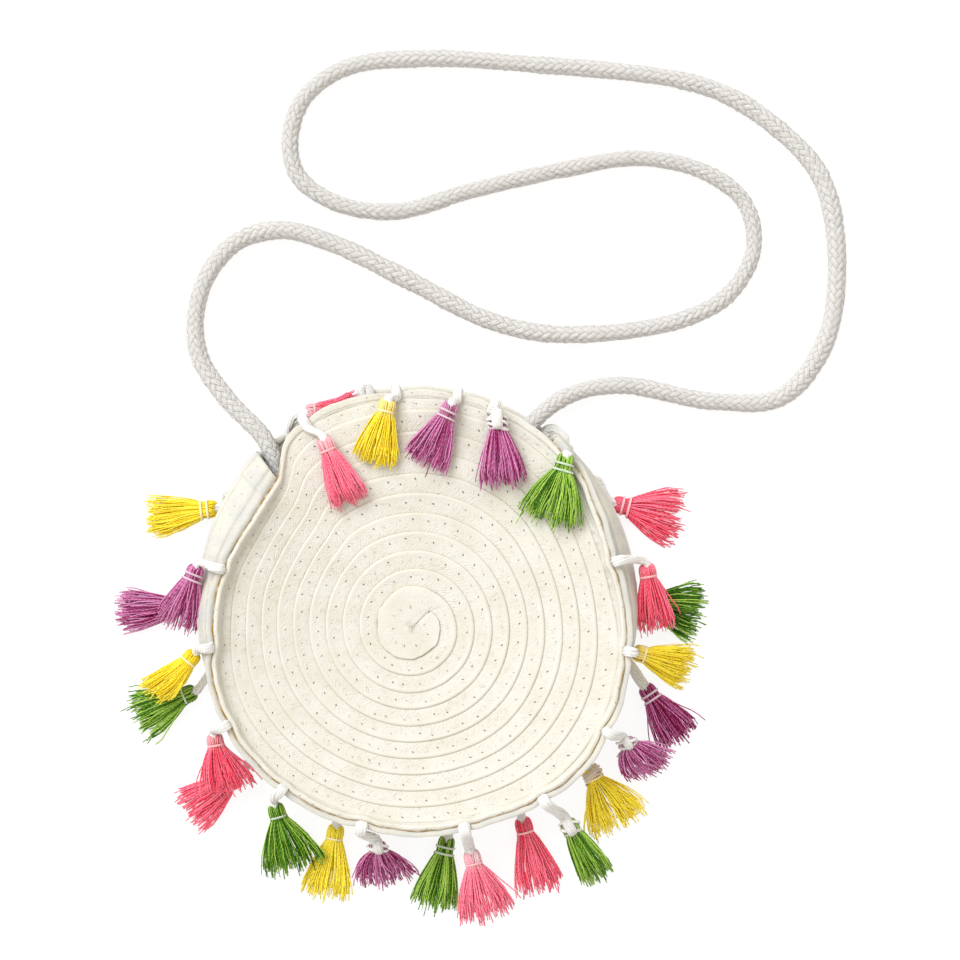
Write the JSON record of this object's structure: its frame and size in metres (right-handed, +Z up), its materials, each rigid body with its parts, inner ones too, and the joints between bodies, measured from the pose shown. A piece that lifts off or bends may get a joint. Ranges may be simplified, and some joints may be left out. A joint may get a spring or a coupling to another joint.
{
  "type": "tasselled straw bag",
  "caption": "Round spiral-sewn straw bag lying on its back, with an open mouth, a braided rope strap and yarn tassels looped into both rims.",
  "frame": {"origin": "middle of the back panel's underside, on the surface the bag lies on", "axes": "+Z up from that surface, +Y from the bag's middle towards its mouth and strap, +X to the right seen from above"},
  "size_m": [0.3143, 0.3776, 0.0303],
  "materials": {
    "straw": "matte cream paper-straw braid",
    "rope": "matte off-white braided cotton rope",
    "cotton": "matte white cotton thread",
    "yarn_pink": "soft sheen coral-pink yarn",
    "yarn_yellow": "soft sheen golden-yellow yarn",
    "yarn_purple": "soft sheen magenta-purple yarn",
    "yarn_green": "soft sheen leaf-green yarn"
  },
  "bodies": {
    "root": {"back_panel": "straw", "front_panel": "straw", "gusset": "straw", "strap": "rope", "tassel_front_01_pink": "yarn_pink", "tassel_front_02_yellow": "yarn_yellow", "tassel_front_03_purple": "yarn_purple", "tassel_front_04_purple": "yarn_purple", "tassel_front_05_green": "yarn_green", "tassel_front_06_pink": "yarn_pink", "tassel_front_07_yellow": "yarn_yellow", "tassel_front_08_purple": "yarn_purple", "tassel_front_09_green": "yarn_green", "tassel_front_10_pink": "yarn_pink", "tassel_front_11_purple": "yarn_purple", "tassel_front_12_green": "yarn_green", "tassel_front_13_pink": "yarn_pink", "tassel_front_14_yellow": "yarn_yellow", "tassel_front_15_purple": "yarn_purple", "tassel_back_01_yellow": "yarn_yellow", "tassel_back_02_purple": "yarn_purple", "tassel_back_03_green": "yarn_green", "tassel_back_04_pink": "yarn_pink", "tassel_back_05_yellow": "yarn_yellow", "tassel_back_06_green": "yarn_green", "tassel_back_07_pink": "yarn_pink", "tassel_back_08_yellow": "yarn_yellow", "tassel_back_09_purple": "yarn_purple", "tassel_back_10_green": "yarn_green", "tassel_back_11_pink": "yarn_pink", "tassel_back_12_pink": "yarn_pink", "loop_back_right": "cotton", "loop_back_top": "cotton"}
  },
  "joints": []
}
